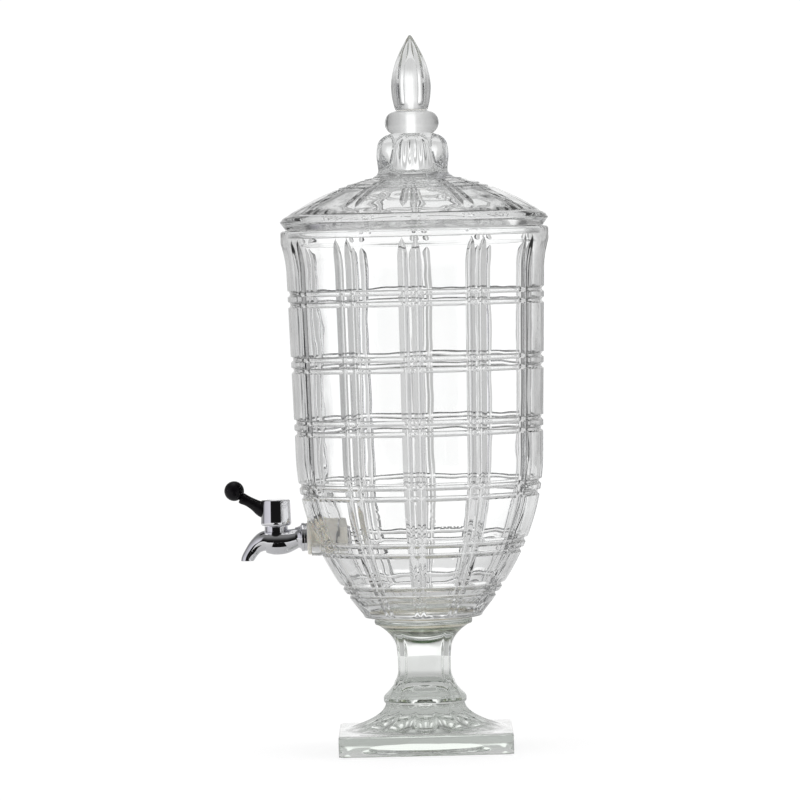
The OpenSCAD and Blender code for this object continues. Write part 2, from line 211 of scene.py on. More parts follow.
WALL_TOP_R = 101
SHOULDER_R = 97.3
SHOULDER_Z = 240
FLARE_Z = 372
LIP_Z = 399
WALL_T = 4.2
FLOOR_Z = BASE_Z + 10
BELLY_LOSS = 0.54
BELLY_POWER = 2.2

BAND_Z = [125.3, 159.6, 204.7, 254.7, 303.9, 355.2]
BAND_PITCH = 8.6
CHANNEL_HALF = 2.25
CHANNEL_DEPTH = 1.95
COLUMNS = 12
COLUMN_STEP = 360 / COLUMNS
COLUMN_TURN = -2.5
PAIR_PITCH = 5.7
FLUTE_HALF = 2.27
FLUTE_DEPTH = 2.35
LANCET_LOW = 384
LANCET_TIP = 401.5
PILLOW = 0.35


def belly_r(top_r, foot_z, z):
    drop = np.clip((SHOULDER_Z - z) / (SHOULDER_Z - foot_z), 0, 1)
    return top_r * (1 - BELLY_LOSS * drop**BELLY_POWER)


def wall_r(z):
    z = np.asarray(z, float)
    upright = SHOULDER_R + (WALL_TOP_R - SHOULDER_R) * (z - SHOULDER_Z) / (FLARE_Z - SHOULDER_Z)
    rise = (np.minimum(z, LIP_Z) - FLARE_Z) / (LIP_Z - FLARE_Z)
    flare = WALL_TOP_R + (LIP_R - WALL_TOP_R) * rise**2
    above = np.where(z < FLARE_Z, upright, flare)
    return np.where(z < SHOULDER_Z, belly_r(SHOULDER_R, BASE_Z, z), above)


def inner_r(z):
    belly = belly_r(SHOULDER_R - WALL_T, FLOOR_Z, z)
    return np.where(z < SHOULDER_Z, belly, wall_r(z) - WALL_T)


def wall_lean(z):
    """Slope of the outside wall, dr/dz."""
    return wall_r(z + 0.5) - wall_r(z - 0.5)


def channel(distance):
    """Depth of one round-bottomed channel at this distance from its middle, as a share."""
    return np.where(abs(distance) < 1, np.cos(np.clip(distance, -1, 1) * np.pi / 2) ** 0.85, 0)


def flute(distance):
    """Depth of one V-shaped flute with a softened bottom, as a share."""
    soft = 0.22
    deep = math.sqrt(1 + soft**2)
    return np.clip((deep - np.sqrt(distance**2 + soft**2)) / (deep - soft), 0, 1)


def lancet(z):
    """Share of a flute's full width at height z: it closes to a point under the lip."""
    t = np.clip((z - LANCET_LOW) / (LANCET_TIP - LANCET_LOW), 0, 1)
    return (1 - t**2) ** 0.75


FLUTE_LINES = np.array([-1.07, -1, -0.86, -0.6, -0.3, -0.12, 0, 0.12, 0.3, 0.6, 0.86, 1, 1.07])
PANEL_LINES = 8


def column_angles(share):
    """Angles of the grid's upright lines where the flutes have this share of their full width."""
    half = FLUTE_HALF * share
    left = -PAIR_PITCH / 2 + FLUTE_LINES * half
    right = PAIR_PITCH / 2 + FLUTE_LINES * half
    far = COLUMN_STEP + left[0]
    panel = right[-1] + (far - right[-1]) * np.arange(1, PANEL_LINES) / PANEL_LINES
    one = np.concatenate([left, [0], right, panel])
    return np.concatenate([one + COLUMN_TURN + COLUMN_STEP * i for i in range(COLUMNS)])


def from_pair(theta):
    """Angle from the middle of the nearest pair of flutes."""
    return (theta - COLUMN_TURN + COLUMN_STEP / 2) % COLUMN_STEP - COLUMN_STEP / 2


def pattern_depth(theta, z, share):
    """Depth of the cut pattern below the plain wall, in millimetres."""
    lean = wall_lean(z)
    stretch = np.sqrt(1 + lean**2)
    depth = np.zeros_like(theta)
    for centre in BAND_Z:
        for side in (-0.5, 0.5):
            s = (z - centre) * stretch - side * BAND_PITCH
            depth = np.maximum(depth, CHANNEL_DEPTH * channel(s / CHANNEL_HALF))
    a = from_pair(theta)
    size = (wall_r(z) / WALL_TOP_R) ** 0.7 * share
    for side in (-0.5, 0.5):
        distance = (a - side * PAIR_PITCH) / (FLUTE_HALF * np.maximum(share, 0.02))
        depth = np.maximum(depth, FLUTE_DEPTH * size * flute(distance))
    edge = PAIR_PITCH / 2 + FLUTE_HALF
    across = np.clip((abs(a) - edge) / (COLUMN_STEP / 2 - edge), 0, 1)
    return depth + PILLOW * np.where(abs(a) > edge, (1 - across) ** 2 * across * 2, 0)


def bowl_rows():
    """Heights of the grid's rows up the outside: close together where the channels are."""
    marks = np.array([-1.12, -1, -0.9, -0.7, -0.4, 0, 0.4, 0.7, 0.9, 1, 1.12]) * CHANNEL_HALF
    rows = []
    for centre in BAND_Z:
        stretch = math.sqrt(1 + float(wall_lean(centre)) ** 2)
        for side in (-0.5, 0.5):
            rows += [centre + (side * BAND_PITCH + m) / stretch for m in marks]
        rows += [centre + side * 0.8 for side in (-1, 0, 1)]
    edges = [BASE_Z + 5, *BAND_Z, 380]
    for low, high in zip(edges[:-1], edges[1:]):
        start = low + (8.5 if low in BAND_Z else 0)
        end = high - (8.5 if high in BAND_Z else 0)
        if end > start:
            rows += list(np.linspace(start, end, 6))
    rows += list(np.linspace(382, LANCET_TIP, 13))
    return np.array(sorted(rows))


def thinned(rows, gap):
    """Rows with those closer than the gap to the one before taken out."""
    kept = [rows[0]]
    for z in rows[1:]:
        if z - kept[-1] > gap:
            kept.append(z)
    return np.array(kept)


def bowl_grid():
    outer_z = thinned(bowl_rows(), 0.15)
    base_round = 2.5
    lip_outer, lip_inner = 2.5, 1.7
    foot_r = float(wall_r(BASE_Z + base_round)) - base_round
    rows = []
    full = column_angles(1.0)
    for r in (6, 18, GLUE_R, foot_r):
        rows.append(polar(r, full, BASE_Z))
    for r, z in arc(foot_r, BASE_Z + base_round, base_round, -65, 0, 4):
        rows.append(polar(r, full, z))
    for z in outer_z:
        share = float(lancet(z))
        theta = column_angles(max(share, 0.06))
        lean = float(wall_lean(z))
        tilt = math.sqrt(1 + lean**2)
        depth = pattern_depth(theta, np.full_like(theta, z), share)
        rows.append(polar(wall_r(z) - depth / tilt, theta, z + depth * lean / tilt))
    blend = np.linspace(0.1, 1, 4)
    for t, z in zip(blend, np.linspace(LANCET_TIP + 1.2, MOUTH_Z - lip_outer, 4)):
        rows.append(polar(LIP_R, column_angles(t), z))
    for r, z in arc(LIP_R - lip_outer, MOUTH_Z - lip_outer, lip_outer, 12, 90, 7):
        rows.append(polar(r, full, z))
    inner_top = LIP_R - WALL_T
    for r, z in arc(inner_top + lip_inner, MOUTH_Z - lip_inner, lip_inner, 100, 180, 6):
        rows.append(polar(r, full, z))
    for z in np.linspace(MOUTH_Z - 6, FLOOR_Z + 9, 46):
        ripple = 0.10 * np.sin(np.radians(full * 5) + z * 0.045)
        ripple = ripple + 0.07 * np.sin(np.radians(full * 9) - z * 0.083)
        rows.append(polar(inner_r(z) - ripple * smoothstep((MOUTH_Z - z) / 20), full, z))
    corner_r = float(inner_r(FLOOR_Z + 9))
    for t in (0.3, 0.6, 0.85):
        a = (1 - t) ** 2
        b = 2 * t * (1 - t)
        c = t * t
        r = a * corner_r + b * (corner_r - 6.5) + c * (corner_r - 17)
        z = a * (FLOOR_Z + 9) + b * (FLOOR_Z + 0.6) + c * FLOOR_Z
        rows.append(polar(r, full, z))
    for r in (corner_r - 17, 18, 6):
        rows.append(polar(r, full, FLOOR_Z))
    return np.stack(rows)


BOSS_R = 15
TAP_HOLE_R = 8.4


def cylinder_x(name, x0, x1, r, sides=96, edge=0.0):
    """Upright-sided plug along the tap's axis, with a rounded edge at its outer end."""
    profile = [[0.01, x0], [r, x0]]
    if edge:
        profile += list(arc(r - edge, x1 - edge, edge, 0, 90, 4))
    else:
        profile += [[r, x1]]
    profile = np.array(profile + [[0.01, x1]])
    return closed_object(name, tap_place(ring_along_x(profile[:, ::-1], sides)))


def build_bowl():
    shell = closed_object("bowl_shell", bowl_grid())
    boss = cylinder_x("boss", 76, BOSS_X, BOSS_R, edge=0.6)
    solid = combined("bowl_blank", shell, [boss], "UNION")
    hollow = []
    for z in np.linspace(140, 196, 24):
        hollow.append([float(inner_r(z)) - 0.02, z])
    cavity = closed_object("cavity", lathe([[0.01, 140], *hollow, [0.01, 196]], 192))
    counterbore = cylinder_x("counterbore", BOSS_X, BOSS_X + 20, BOSS_R + 0.4)
    hole = cylinder_x("hole", 50, BOSS_X + 1, TAP_HOLE_R)
    bowl = combined("glass_bowl", solid, [cavity, counterbore, hole], "DIFFERENCE")
    sharpen(bowl, 50)
    return bowl


# ---------------------------------------------------------------- lid

DOME_Z = 452.5
DOME_DROP = 35.4
LID_UNDER = 6
SEAT_R = 101.3
SEAT_Z = MOUTH_Z + 0.3
RING_OUT_R = 99.5
RING_IN_R = 96
RING_Z = lid_low[2]
RIM_Z = 415.4
RIM_ROUND = 1.2
BELL_FOOT_R = 31
BELL_NECK_R = 17.2
PETAL_R = 28.6
BELL_LOW_Z = 449.6
BELL_TOP_Z = 483
PETALS = 4
PETAL_STEP = 360 / PETALS
BULB_Z = 491.5
BULB_R = 21.2
BULB_HALF = 9.6
BULB_NECK_R = 17
LID_RINGS = [57, 36.5]
RING_PITCH = 6.6
RING_HALF = 1.9
SPOKE_OUT, SPOKE_IN = 91, 34


def dome(r):
    return DOME_Z - DOME_DROP * (r / RIM_R) ** 2


def lid_depth(r, theta):
    """Depth of the cut pattern on the dome."""
    depth = np.zeros_like(theta)
    for centre in LID_RINGS:
        for side in (-0.5, 0.5):
            s = r - centre - side * RING_PITCH
            depth = np.maximum(depth, 1.2 * channel(s / RING_HALF))
    a = from_pair(theta)
    out = np.clip((SPOKE_OUT - r) / 9, 0, 1)
    share = (1 - (1 - out) ** 1.7) ** 0.9 * np.clip((r - SPOKE_IN) / 3, 0, 1)
    for side in (-0.5, 0.5):
        distance = (a - side * PAIR_PITCH) / (FLUTE_HALF * max(float(share), 0.02))
        depth = np.maximum(depth, 1.3 * (r / 100) ** 0.6 * share * flute(distance))
    return depth, share


def bell_core(z):
    """Radius of the bell in the creases between its petals."""
    flare = np.clip((BELL_TOP_Z - z) / (BELL_TOP_Z - BELL_LOW_Z), 0, 1)
    return BELL_NECK_R + (BELL_FOOT_R - BELL_NECK_R) * (0.6 * flare + 0.4 * flare**9)


def petal_reach(theta, z):
    """How far the bell's petals stand out from the creases at this angle and height."""
    t = np.clip((z - BELL_LOW_Z) / (BELL_TOP_Z - BELL_LOW_Z), 0, 1)
    a = abs((theta + PETAL_STEP / 2) % PETAL_STEP - PETAL_STEP / 2) / (PETAL_STEP / 2)
    half = 0.95 * np.sqrt(np.clip(1 - t**9, 0.0, 1))
    across = np.clip(a / max(float(half), 0.05), 0, 1.0)
    body = (1 - across**2.6) ** 0.8
    scallop = 0.24 * np.cos(np.clip(across * 2.4, 0, 1.6) * np.pi) ** 2 * (across < 0.62)
    below = np.clip((466 - z) / 14.5, 0, 1)
    height = (PETAL_R - bell_core(z)) * (1 - t**7) ** 0.8 * math.sqrt(1 - float(below) ** 2)
    return height * body * (1 - scallop * (1 - 0.6 * float(below)))


def lid_grid():
    full = column_angles(1.0)
    rows = []
    for r in (5, 14, 24, 36, 48, 60, 72, 84, RING_IN_R - 3):
        rows.append(polar(r, full, dome(r) - LID_UNDER))
    for r, z in arc(RING_IN_R - 2, dome(RING_IN_R - 2) - LID_UNDER - 2, 2, 80, 10, 4):
        rows.append(polar(r, full, z))
    for r, z in arc(RING_IN_R + 1, RING_Z + 1, 1, 180, 270, 4):
        rows.append(polar(r, full, z))
    for r, z in arc(RING_OUT_R - 1, RING_Z + 1, 1, 270, 360, 4):
        rows.append(polar(r, full, z))
    rows.append(polar(RING_OUT_R, full, SEAT_Z - 0.3))
    rows.append(polar(RING_OUT_R + 0.2, full, SEAT_Z))
    for r, z in arc(SEAT_R - 0.6, SEAT_Z + 0.6, 0.6, -90, -30, 3):
        rows.append(polar(r, full, z))
    for r, z in arc(RIM_R - RIM_ROUND, RIM_Z, RIM_ROUND, -50, 65, 8):
        rows.append(polar(r, full, z))
    marks = []
    across = (-1.12, -1, -0.85, -0.6, -0.3, 0, 0.3, 0.6, 0.85, 1, 1.12)
    for centre in LID_RINGS:
        for side in (-0.5, 0.5):
            marks += [centre + side * RING_PITCH + m * RING_HALF for m in across]
        marks += [centre]
    marks += list(np.linspace(RIM_R - 1.6, SPOKE_OUT, 6))
    marks += list(np.linspace(SPOKE_OUT - 1, SPOKE_OUT - 10, 9))
    marks += list(np.linspace(78, 64, 6)) + [50, 47, 44, 32.5, 31.5]
    for r in thinned(np.array(sorted(marks)), 0.2)[::-1]:
        theta = full
        depth, share = lid_depth(float(r), theta)
        if r > SPOKE_OUT - 12:
            theta = column_angles(max(float(share), 0.08))
            depth, share = lid_depth(float(r), theta)
        lean = 2 * DOME_DROP * r / RIM_R**2
        tilt = math.sqrt(1 + lean**2)
        rows.append(polar(r - depth * lean / tilt, theta, dome(r) - depth / tilt))
    for z in np.concatenate([[BELL_LOW_Z, 450.4], np.linspace(451.4, BELL_TOP_Z, 26)]):
        rows.append(polar(bell_core(z) + petal_reach(full, z), full, z))
    rows.append(polar(BULB_NECK_R, full, BELL_TOP_Z + 0.3))
    for a in np.linspace(-62, 62, 15):
        r = BULB_R - BULB_HALF + BULB_HALF * math.cos(math.radians(a))
        rows.append(polar(r, full, BULB_Z + BULB_HALF * math.sin(math.radians(a)) * 0.99))
    rows.append(polar(13.6, full, KNOB_TOP - 0.35))
    rows.append(polar(12.8, full, KNOB_TOP))
    rows.append(polar(SEAM_R, full, KNOB_TOP))
    rows.append(polar(5, full, KNOB_TOP))
    return np.stack(rows)


def build_lid():
    lid = closed_object("glass_lid", lid_grid())
    sharpen(lid, 55)
    return lid


# ---------------------------------------------------------------- finial

FLAME_FOOT_R = 12.7
FLAME_WIDE_Z = 520
FLAME_TIP_R = 1.2
FLAME_FLUTES = 8


def flame_r(z):
    drop = np.clip(FLAME_WIDE_Z - z, 0, None) / (FLAME_WIDE_Z - FINIAL_Z)
    low = FLAME_R - (FLAME_R - FLAME_FOOT_R) * drop**2
    rise = np.clip((z - FLAME_WIDE_Z) / (TIP_Z - 0.6 - FLAME_WIDE_Z), 0, 1)
    high = FLAME_TIP_R + (FLAME_R - FLAME_TIP_R) * (1 - rise**1.8)
    return np.where(z < FLAME_WIDE_Z, low, high)


def build_finial():
    theta = np.arange(192) * 360 / 192
    rows = [polar(r, theta, FINIAL_Z) for r in (4, SEAM_R, FLAME_FOOT_R - 0.3)]
    ribs = abs(np.cos(np.radians(theta * FLAME_FLUTES / 2)))
    middle = np.linspace(FINIAL_Z + 2, TIP_Z - 2, 44)
    for z in np.concatenate([[FINIAL_Z + 0.5], middle, [TIP_Z - 1.2, TIP_Z - 0.6]]):
        t = (z - FINIAL_Z) / (TIP_Z - FINIAL_Z)
        cut = 1.5 * smoothstep(t / 0.12) * smoothstep((1 - t) / 0.25)
        rows.append(polar(flame_r(z) - cut * (1 - ribs) ** 1.2, theta, z))
    rows.append(polar(0.5, theta, TIP_Z))
    finial = closed_object("glass_finial", np.stack(rows))
    sharpen(finial, 60)
    return finial


# ---------------------------------------------------------------- pedestal

PLINTH_H = 16.3
CORNER_R = 7
RECESS_R = 50
RECESS_H = 3.4
WAIST_R = 20.8
WAIST_LOW, WAIST_HIGH = 60.5, 70.6
KNOP_R = 32.6
KNOP_LOW, KNOP_HIGH = 37.2, 42.3
COLLAR_R = 38.4
COLLAR_LOW = COLLAR_TOP - 4.6
COVE_R = 65
CORNER_CUT = 1.22
STEM_RIB = 1.3
RIB_ANGLE = 37
COVE_FLUTES = 16
FOOT_EDGE = 1.2
TOP_EDGE = 1.6


def plinth_r(theta, inset):
    """Radius of the plinth's round-cornered outline, drawn in by this much."""
    return square_r(theta, PLINTH_HALF - inset, CORNER_R - inset)


def square_r(theta, half, corner):
    """Radius of a round-cornered square at each angle."""
    fold = np.radians(abs((theta + 45) % 90 - 45))
    fold = np.where(fold > np.pi / 4, np.pi / 2 - fold, fold)
    c = half - corner
    flat = half / np.cos(fold)
    inside = np.clip(corner**2 - c**2 * (np.cos(fold) - np.sin(fold)) ** 2, 0, None)
    rounded = c * (np.cos(fold) + np.sin(fold)) + np.sqrt(inside)
    return np.where(half * np.tan(fold) <= c, flat, rounded)


def four_sided(theta, strength):
    """Share by which a round section grows into a square with cut corners; 1 on the flats."""
    fold = np.radians(abs((theta + 45) % 90 - 45))
    section = np.minimum(1 / np.cos(fold), CORNER_CUT / np.cos(np.pi / 4 - fold))
    return 1 + strength * (section - 1)


def cove_r(z):
    t = np.clip((KNOP_LOW - z) / (KNOP_LOW - PLINTH_H), 0, 1)
    return KNOP_R - 1 + (COVE_R - KNOP_R + 1) * t**2.2


def stem_r(z):
    drop = np.clip(WAIST_LOW - z, 0, None) / (WAIST_LOW - KNOP_HIGH)
    rise = np.clip(z - WAIST_HIGH, 0, None) / (COLLAR_LOW - WAIST_HIGH)
    low = WAIST_R + (KNOP_R - WAIST_R) * drop**1.75
    high = WAIST_R + (COLLAR_R - 2 - WAIST_R) * rise**3
    return np.where(z < WAIST_LOW, low, high)


def pedestal_grid():
    even = np.arange(0, 360, 1.0)
    extra = np.array([c + d for c in (45, 135, 225, 315) for d in np.arange(-4.5, 5, 1)])
    theta = np.sort(np.concatenate([even, extra]))
    rows = []
    for r in (6, 22, 38, RECESS_R - 6):
        rows.append(polar(r, theta, RECESS_H))
    for r, z in arc(RECESS_R - 6.5, RECESS_H - 2, 2, 80, 10, 4):
        rows.append(polar(r, theta, z))
    for r, z in arc(RECESS_R + 0.6, 0.8, 0.8, 170, 270, 4):
        rows.append(polar(r, theta, z))
    for t in (0.35, 0.7):
        r = RECESS_R + 1 + (plinth_r(theta, 1.4) - RECESS_R - 1) * t
        rows.append(polar(r, theta, 0))
    for inset, z in zip(*arc(0, 0, 1, 0, 90, 4).T):
        rows.append(polar(plinth_r(theta, FOOT_EDGE * inset), theta, FOOT_EDGE * (1 - z)))
    for z in np.linspace(3, PLINTH_H - 3, 5):
        rows.append(polar(plinth_r(theta, 0), theta, z))
    for out, up in zip(*arc(0, 0, 1, 0, 90, 4).T):
        z = PLINTH_H - TOP_EDGE * (1 - up)
        rows.append(polar(plinth_r(theta, TOP_EDGE * (1 - out)), theta, z))
    border = plinth_r(theta, TOP_EDGE)
    for t in (0.35, 0.7):
        rows.append(polar(border + (COVE_R + 0.4 - border) * t, theta, PLINTH_H))
    step = 360 / COVE_FLUTES
    a = ((theta + step / 2) % step - step / 2) / (step / 2)
    low_rows = np.linspace(PLINTH_H + 0.05, PLINTH_H + 4, 9)
    high_rows = np.linspace(PLINTH_H + 5, KNOP_LOW - 1, 12)
    for z in np.concatenate([low_rows, high_rows]):
        t = (z - PLINTH_H) / (KNOP_LOW - PLINTH_H)
        end = np.clip((t - 0.02) / 0.30, 0, 1)
        half = 0.97 * np.sqrt(np.clip(1 - (1 - end) ** 2, 0.0, 1))
        across = np.clip(abs(a) / max(float(half), 0.05), 0, 1)
        cut = 2.6 * (1 - across**2) * smoothstep(end * 1.3) * (1 - 0.25 * t)
        slope = float(cove_r(z - 0.2) - cove_r(z + 0.2)) / 0.4
        tilt = math.sqrt(1 + slope**2)
        rows.append(polar(cove_r(z) - cut / tilt, theta, z - cut * slope / tilt))
    ring = four_sided(theta, 0.35)
    fold = abs((theta + 45) % 90 - 45)
    for r, z in arc(KNOP_R - 1.2, KNOP_LOW + 1.2, 1.2, -90, 0, 4):
        rows.append(polar(r * ring, theta, z))
    for r, z in arc(KNOP_R - 1.2, KNOP_HIGH - 1.2, 1.2, 0, 45, 3):
        rows.append(polar(r * ring, theta, z))
    for z in np.linspace(KNOP_HIGH + 0.7, COLLAR_LOW - 0.4, 52):
        strength = 0.35 + 0.47 * np.clip((z - KNOP_HIGH) / 10, 0, 1)
        strength *= np.clip((94 - z) / 14, 0, 1)
        rib = STEM_RIB * np.exp(-(((fold - RIB_ANGLE) / 2.4) ** 2)) * strength
        rows.append(polar(stem_r(z) * four_sided(theta, strength) + rib, theta, z))
    for r, z in arc(COLLAR_R - 1.5, COLLAR_LOW + 1.5, 1.5, -60, 0, 4):
        rows.append(polar(r, theta, z))
    for r, z in arc(COLLAR_R - 1.5, COLLAR_TOP - 1.5, 1.5, 0, 90, 5):
        rows.append(polar(r, theta, z))
    for r in (GLUE_R, 16, 6):
        rows.append(polar(r, theta, COLLAR_TOP))
    return np.stack(rows)


def build_pedestal():
    pedestal = closed_object("glass_pedestal", pedestal_grid())
    sharpen(pedestal, 50)
    return pedestal


# ---------------------------------------------------------------- tap

FLANGE_T = 2.4
FLANGE_R = 11.3
SHANK_R = 8
SHANK_END = -spigot_high[1]
THREAD_PITCH = 1.5
THREAD_DEPTH = 0.8
NECK_R = neck_high[0]
OUTLET_R = 3.3
OUTLET_RIM_R = 5.2
# Stations of the tap's body: distance out along X, height and radius.
BODY_STATIONS = [
    [93, 0, 7], [95.6, 0, 7.2], [102, -1.85, 8.7], [107.5, -3, 9.9],
    [113.8, -3.25, 10.25], [118.6, -3, 9.7], [124, -2.9, 8], [129.7, -6.3, 6.1],
    [133.6, -11, 5.3], [136.2, -15.4, 5.15], [136.9, -17.7, OUTLET_RIM_R],
]
SLEEVE = 8
ESCUTCHEON_BORE = 8.3


def spline(points, steps):
    """Smooth curve through the points, with this many steps between neighbours."""
    p = np.asarray(points, float)
    p = np.vstack([2 * p[0] - p[1], p, 2 * p[-1] - p[-2]])
    out = []
    for i in range(1, len(p) - 2):
        for t in np.linspace(0, 1, steps, endpoint=False):
            a, b, c, d = p[i - 1], p[i], p[i + 1], p[i + 2]
            square = (2 * a - 5 * b + 4 * c - d) * t**2
            cube = (3 * b - a - 3 * c + d) * t**3
            out.append(0.5 * (2 * b + (c - a) * t + square + cube))
    out.append(p[-2])
    return np.array(out)


def tube(stations, sides=64, end_heading=None):
    """Grid of round sections that stand square to the path through [x, z, r] stations."""
    x, z, r = np.asarray(stations, float).T
    heading = np.arctan2(np.gradient(z), np.gradient(x))
    if end_heading is not None:
        last = len(x) // 6
        weight = smoothstep(np.linspace(0, 1, last))
        heading[-last:] = heading[-last:] * (1 - weight) + math.radians(end_heading) * weight
    u = np.arange(sides) * 2 * np.pi / sides
    h = heading[:, None]
    return np.stack(
        [
            x[:, None] - r[:, None] * np.cos(u) * np.sin(h),
            -r[:, None] * np.sin(u),
            z[:, None] + r[:, None] * np.cos(u) * np.cos(h),
        ],
        -1,
    )


def threaded_bar(x0, x1, r):
    """Screw thread along X: the crest winds round once per pitch."""
    sides = 48
    x = np.arange(x0, x1, THREAD_PITCH / 8)
    a = np.arange(sides) * 2 * np.pi / sides
    turn = (x[:, None] / THREAD_PITCH - a / (2 * np.pi)) % 1
    depth = THREAD_DEPTH * (1 - abs(2 * turn - 1))
    fade = smoothstep((x - x0) / 2.5)[:, None] * smoothstep((x1 - x) / 2)[:, None]
    radius = r - THREAD_DEPTH * 0.9 + (THREAD_DEPTH * 0.9 - depth) * fade
    return np.stack([np.repeat(x[:, None], sides, 1), -radius * np.cos(a), radius * np.sin(a)], -1)


def build_spigot():
    path = spline(BODY_STATIONS, 6)
    outer = tube(path, end_heading=-90)
    end = outer[-1]
    centre = end.mean(0)
    rings = []
    for share, drop in ((0.94, -0.25), (0.8, -0.3), (0.68, -0.1)):
        rings.append(centre + (end - centre) * share + np.array([0, 0, drop]))
    for back, rise in ((0, 0.6), (-0.6, 3), (-1.9, 6), (-4, 9.5)):
        rings.append(centre + (end - centre) * (OUTLET_R / OUTLET_RIM_R) + np.array([back, 0, rise]))
    body = closed_object("tap_casting", tap_place(np.concatenate([outer, np.stack(rings)])))
    neck_profile = [
        [0.01, -6], [10.2, -4.5], [9.9, -1.5], [NECK_R + 0.15, 0.6],
        [NECK_R, 2], [NECK_R, 5.0], [NECK_R - 0.4, 5.4], [0.01, 5.45],
    ]
    neck = closed_object("tap_neck", valve_place(lathe(neck_profile)))
    flange_x = -escutcheon_low[1]
    flange = cylinder_x("tap_flange", flange_x, flange_x + FLANGE_T, FLANGE_R, edge=0.7)
    collar_profile = [[94, 0.01], [94, 10.4], [95.2, 8.9], [97.2, 8.0], [99, 7.7], [99, 0.01]]
    collar = closed_object("tap_collar", tap_place(ring_along_x(collar_profile)))
    thread = threaded_bar(SHANK_END, flange_x + 0.5, SHANK_R)
    shank = closed_object("tap_shank", tap_place(thread))
    spigot = combined("tap_body", body, [neck, flange, collar, shank], "UNION")
    inlet = cylinder_x("inlet", SHANK_END - 1, SHANK_END + 22, 3.9)
    spigot = combined("tap_body", spigot, [inlet], "DIFFERENCE")
    sharpen(spigot, 38)
    return spigot


def rounded_rim(x0, x1, r, edge):
    """Outline of a ring's outside, rounded at both edges."""
    front = list(arc(x1 - edge, r - edge, edge, 0, 90, 5))
    return front + list(arc(x0 + edge, r - edge, edge, 90, 180, 5))


def rounded_ring(name, x0, x1, r_out, r_in, edge):
    """Ring along the tap's axis with rounded outer edges."""
    outline = rounded_rim(x0, x1, r_out, edge)
    outline += [[x0, r_in + 0.2], [x0 + 0.2, r_in], [x1 - 0.2, r_in], [x1, r_in + 0.2]]
    return new_object(name, loop_mesh(name, tap_place(ring_along_x(outline))))


def build_washer():
    """Outer washer with a thin sleeve that lines the hole in the glass."""
    x0, x1 = BOSS_X, -washer_low[1]
    outline = rounded_rim(x0, x1, washer_high[0], 0.9)
    sleeve_r, bore = TAP_HOLE_R - 0.05, SHANK_R + 0.05
    outline += [[x0, sleeve_r], [x0 - SLEEVE, sleeve_r], [x0 - SLEEVE, bore]]
    outline += [[x1 - 0.2, bore], [x1, SHANK_R + 0.25]]
    ring = new_object("silicone_washer", loop_mesh("silicone_washer", tap_place(ring_along_x(outline))))
    sharpen(ring, 40)
    return ring


def upright_ring(x, r, theta):
    """Points round the X axis at this distance along it."""
    a = np.radians(theta)
    return np.stack([np.full(len(theta), x), r * np.cos(a), r * np.sin(a)], -1)


def build_nut():
    """Six-sided nut with chamfered corners and a washer face."""
    x0, x1 = -nut_high[1], -nut_low[1]
    corner_r = (nut_high[2] - nut_low[2]) / 2
    sides = 96
    a = np.arange(sides) * 360 / sides
    hexagon = corner_r * np.cos(np.pi / 6) / np.cos(np.radians((a + 30) % 60 - 30))
    bore = SHANK_R + 0.1
    rows = []
    face_r = corner_r * 0.86
    front = [(x0, bore), (x0, face_r), (x0 + 1.2, corner_r)]
    back = [(x1 - 1.2, corner_r), (x1, face_r), (x1, bore)]
    for x, r_cap in front + back:
        r = np.minimum(hexagon, r_cap)
        rows.append(upright_ring(x, r, a))
    for x in np.linspace(x1 - 0.6, x0 + 0.6, 5):
        rows.append(upright_ring(x, bore, a))
    nut = new_object("shank_nut", loop_mesh("shank_nut", tap_place(np.stack(rows)[::-1])))
    sharpen(nut, 30)
    return nut


HUB_TOP_R = 11.35


def build_hub():
    low, high = hub_low[2] - TAP_Z, hub_high[2] - TAP_Z
    seat = cap_high[2] - TAP_Z - 1.0
    cap_r = cap_high[0]
    profile = [[0.3, low]] + list(arc(HUB_R - 2.2, low + 2.2, 2.2, -90, -8, 7))
    profile += [[HUB_R - 0.12, low + 4], [HUB_R - 0.3, low + 9]]
    profile += list(arc(HUB_TOP_R - 1.1, high - 1.1, 1.1, 0, 90, 6))
    profile += [[cap_r + 0.5, high], [cap_r + 0.12, high - 0.3], [cap_r + 0.08, seat], [0.3, seat]]
    hub = closed_object("hub_shell", valve_place(lathe(profile, 128)))
    sharpen(hub, 45)
    return hub


def build_bonnet():
    """Plain ring between the tap's neck and its turning hub."""
    low, high = neck_low[2] - TAP_Z, neck_high[2] - TAP_Z
    bore = plug_high[0] + 0.08
    outline = [[bore, low], [NECK_R - 0.25, low], [NECK_R, low + 0.25], [NECK_R, (low + high) / 2]]
    outline += [[NECK_R, high - 0.25], [NECK_R - 0.25, high], [bore, high]]
    ring = new_object("neck_ring", loop_mesh("neck_ring", valve_place(lathe(outline))))
    sharpen(ring, 30)
    return ring


def build_hub_cap():
    low, high = cap_low[2] - TAP_Z + 0.35, cap_high[2] - TAP_Z
    r = cap_high[0]
    profile = [[0.3, low], [r, low]] + list(arc(r - 0.5, high - 0.55, 0.5, 0, 80, 4))
    profile += [[r * 0.7, high - 0.02], [0.3, high]]
    cap = closed_object("hub_cover", valve_place(lathe(profile)))
    sharpen(cap, 45)
    return cap


# Stations of the lever, in the same order.
LEVER_STATIONS = [
    [121.5, 21.3, 6.0], [123.6, 22.0, 6.25], [126.4, 23.5, 5.75], [129.4, 25.4, 4.85], [132.8, 27.5, 4.25],
    [136.4, 29.5, 4.1], [139.4, 31.0, 4.45], [140.6, 31.65, 4.3],
]


